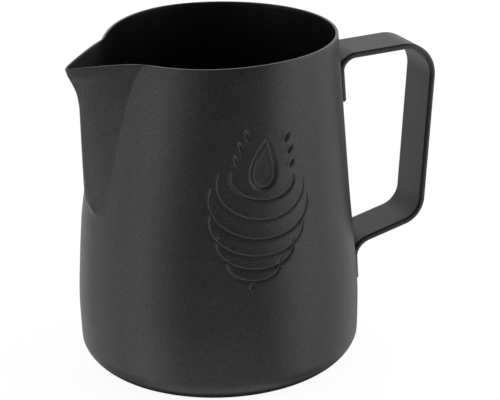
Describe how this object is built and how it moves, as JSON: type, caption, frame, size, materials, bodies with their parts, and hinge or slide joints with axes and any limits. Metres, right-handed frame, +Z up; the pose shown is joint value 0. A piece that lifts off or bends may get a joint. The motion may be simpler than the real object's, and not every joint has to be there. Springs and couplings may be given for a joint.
{
  "type": "milk frothing pitcher",
  "caption": "Tapered open metal pitcher with a pressed pouring spout and a bent flat strap handle, for steaming and pouring milk.",
  "frame": {"origin": "centre of the flat underside, on the axis of the round body", "axes": "+Z up along the body's axis, +X from the axis through the middle of the handle; the spout points close to -X"},
  "size_m": [0.1258, 0.092, 0.1088],
  "materials": {
    "body_powder_coat": "fine matte black powder coat on stainless steel sheet",
    "handle_powder_coat": "fine matte black powder coat on stainless steel strap",
    "weld_steel": "bare resistance spot weld nugget"
  },
  "bodies": {
    "root": {"body": "body_powder_coat", "handle": "handle_powder_coat", "weld_upper_left": "weld_steel", "weld_upper_right": "weld_steel", "weld_lower_left": "weld_steel", "weld_lower_right": "weld_steel"}
  },
  "joints": []
}
